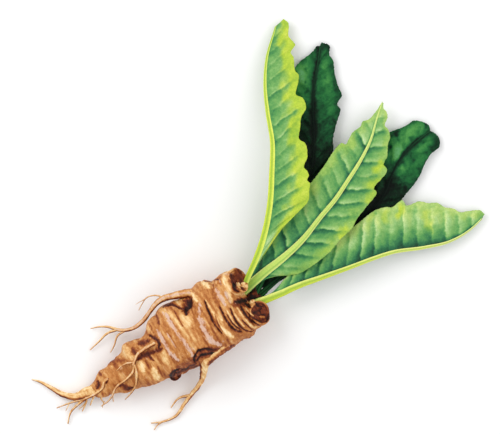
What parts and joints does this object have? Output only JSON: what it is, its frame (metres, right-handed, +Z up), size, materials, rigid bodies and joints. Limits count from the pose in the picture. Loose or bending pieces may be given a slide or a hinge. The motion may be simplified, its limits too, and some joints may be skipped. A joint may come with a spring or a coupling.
{
  "type": "horseradish root",
  "caption": "Whole young horseradish plant lying on its side: thick ringed tapering root with rootlets, and long toothed leaves growing from its crown.",
  "frame": {"origin": "bottom centre of the box round the whole plant, on the surface it lies on", "axes": "+X along the root from the tip of its tail to its crown and on towards the leaves, +Y across it, +Z up from the surface"},
  "size_m": [0.4744, 0.2816, 0.0635],
  "materials": {
    "root_skin": "matt corky skin, ochre to dark brown, with cream and pinkish bands",
    "bright_leaf": "satin leaf, fresh green with a yellow-green midrib and edge",
    "dark_leaf": "satin leaf, dark green"
  },
  "bodies": {
    "root": {"root": "root_skin", "leaf_front_left": "bright_leaf", "leaf_front_middle": "bright_leaf", "leaf_front_right": "bright_leaf", "leaf_back_left": "dark_leaf", "leaf_back_right": "dark_leaf"}
  },
  "joints": []
}
